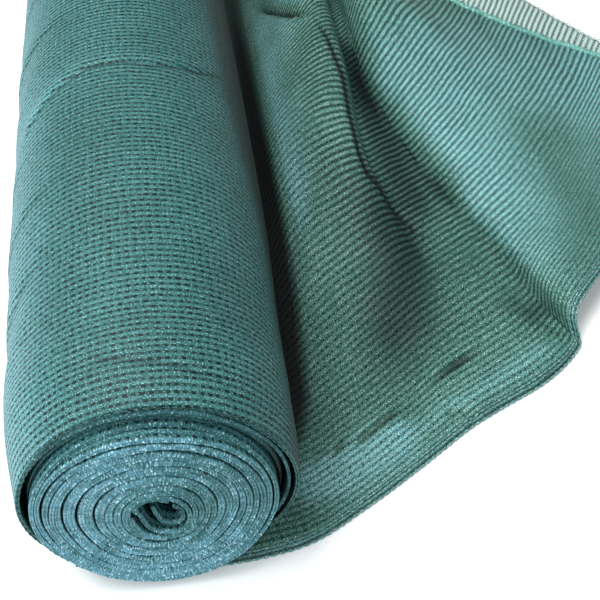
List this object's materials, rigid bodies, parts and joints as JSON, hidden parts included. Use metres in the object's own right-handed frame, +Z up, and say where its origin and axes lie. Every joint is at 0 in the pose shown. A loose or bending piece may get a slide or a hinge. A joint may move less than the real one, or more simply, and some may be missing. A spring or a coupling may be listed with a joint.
{
  "type": "folded shade netting, rolled, with a loose end",
  "caption": "Roll of knitted green shade net, folded double lengthwise, lying on the floor with its free end spread out in soft folds beside it",
  "frame": {"origin": "on the floor under the middle of the roll's length, straight below the roll's axis", "axes": "+Y along the roll away from its front end, +X from the roll towards the free end, +Z up"},
  "size_m": [0.568, 0.9656, 0.1596],
  "materials": {
    "wound_net": "dark teal knitted polyethylene net, wound, slightly glossy tapes",
    "laid_net": "dark teal knitted polyethylene net, doubled, see-through with small even openings"
  },
  "bodies": {
    "root": {"wound_roll": "wound_net", "free_end": "laid_net"}
  },
  "joints": []
}
